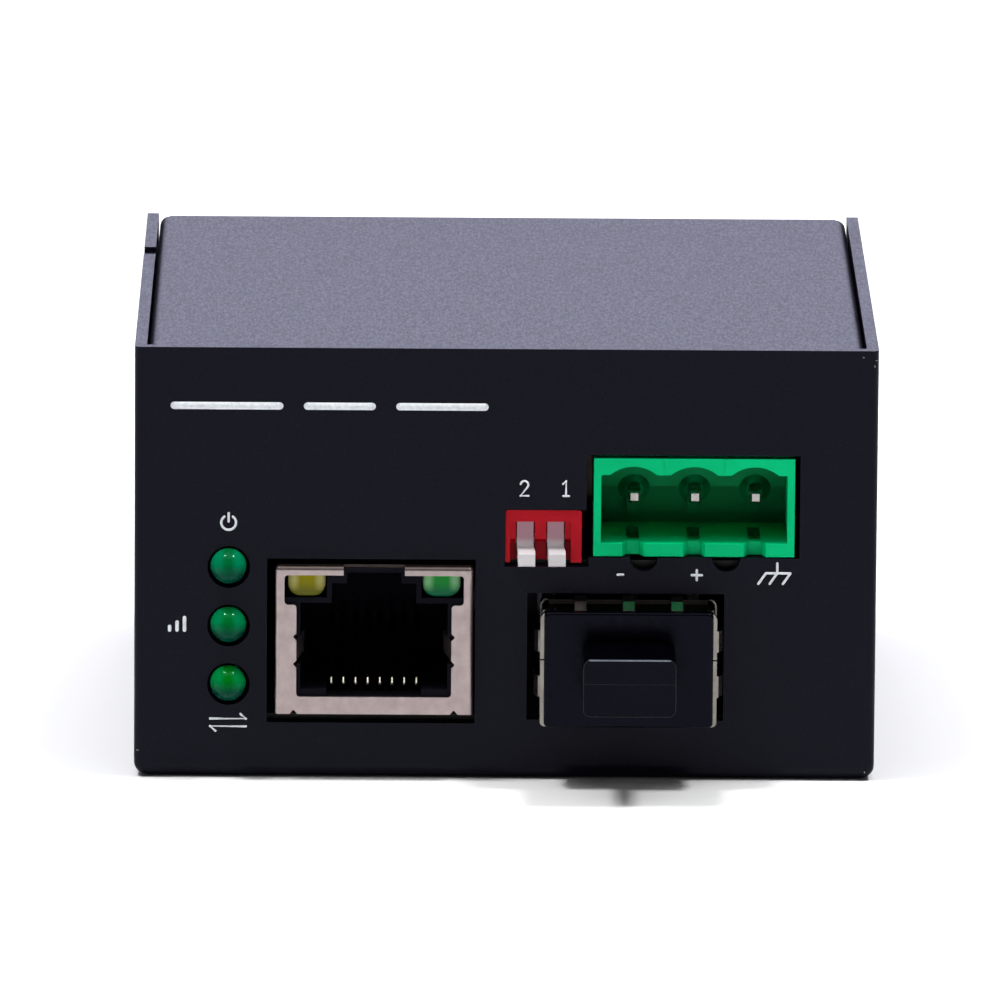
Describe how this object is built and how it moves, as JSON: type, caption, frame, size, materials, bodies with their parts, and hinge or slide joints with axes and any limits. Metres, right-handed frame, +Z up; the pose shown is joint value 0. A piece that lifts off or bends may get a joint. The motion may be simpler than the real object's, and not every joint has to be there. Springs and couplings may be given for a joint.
{
  "type": "fibre media converter",
  "caption": "Compact DIN-rail fibre media converter: folded black steel case with network jack, transceiver cage with dust plug, terminal header, switch and status lamps.",
  "frame": {"origin": "middle of the case's base, on its outer face", "axes": "+X to the right seen from the front, +Y from the front panel to the back, +Z up from the base"},
  "size_m": [0.062, 0.0715, 0.0367],
  "materials": {
    "powder_black": "black powder coat, fine texture, satin",
    "screw_black": "black oxide, satin",
    "zinc_steel": "zinc plated",
    "nickel_sheet": "nickel plated sheet, satin",
    "cage_sheet": "bright tin plated sheet",
    "jack_black": "moulded, satin",
    "gold_contact": "gold flash",
    "lens_yellow": "clear tinted epoxy, unlit",
    "lens_green": "clear tinted epoxy, unlit",
    "lamp_green": "tinted epoxy, unlit",
    "holder_black": "moulded, matt",
    "tin_lead": "tin plated",
    "header_green": "moulded, satin",
    "switch_red": "moulded, satin",
    "lever_white": "moulded, satin",
    "plug_black": "soft moulded, semi-gloss",
    "board_green": "solder mask, semi-gloss",
    "package_black": "moulded epoxy",
    "can_steel": "satin can",
    "ferrite_grey": "ferrite",
    "sleeve_dark": "shrink sleeve",
    "winding_copper": "enamelled wire",
    "disc_yellow": "dipped resin",
    "disc_blue": "dipped resin"
  },
  "bodies": {
    "case": {"front_shell": "powder_black", "lid": "powder_black", "lid_screws": "screw_black", "rear_clinch_nuts": "zinc_steel", "board_standoffs": "zinc_steel", "main_board": "board_green", "main_board_screw": "zinc_steel", "board_spacers": "zinc_steel", "power_board": "board_green", "power_board_screws": "zinc_steel", "link_strip": "holder_black", "link_pins": "gold_contact", "rj45_shield": "nickel_sheet", "rj45_housing": "jack_black", "rj45_contacts": "gold_contact", "rj45_lens_left": "lens_yellow", "rj45_lens_right": "lens_green", "lamp_holder": "holder_black", "lamp_lower": "lamp_green", "lamp_middle": "lamp_green", "lamp_upper": "lamp_green", "lamp_leads": "tin_lead", "terminal_housing": "header_green", "terminal_pins": "tin_lead", "dip_body": "switch_red", "dip_pins": "tin_lead", "sfp_cage": "cage_sheet", "sfp_spring_collar": "cage_sheet", "sfp_connector": "package_black", "line_transformer": "package_black", "transformer_leads": "tin_lead", "converter_chip": "package_black", "chip_leads": "tin_lead", "crystal": "can_steel", "power_inductor": "ferrite_grey", "smoothing_capacitors": "sleeve_dark", "input_capacitor": "sleeve_dark", "isolating_converter": "package_black", "input_choke": "ferrite_grey", "choke_winding": "winding_copper", "input_fuse": "disc_yellow", "surge_suppressor": "disc_blue"},
    "switch_lever_left": {"dip_lever_left": "lever_white"},
    "switch_lever_right": {"dip_lever_right": "lever_white"},
    "plug": {"dust_plug": "plug_black"}
  },
  "joints": [
    {"name": "switch_left_tilt", "type": "hinge", "parent": "case", "child": "switch_lever_left", "pos_m": [0, -0.0283, 0.0202], "axis": [-1, 0, 0], "range_deg": [0, 30]},
    {"name": "switch_right_tilt", "type": "hinge", "parent": "case", "child": "switch_lever_right", "pos_m": [0, -0.0283, 0.0202], "axis": [-1, 0, 0], "range_deg": [0, 30]},
    {"name": "dust_plug_draw", "type": "slide", "parent": "case", "child": "plug", "axis": [0, -1, 0], "range_m": [0, 0.008]}
  ]
}
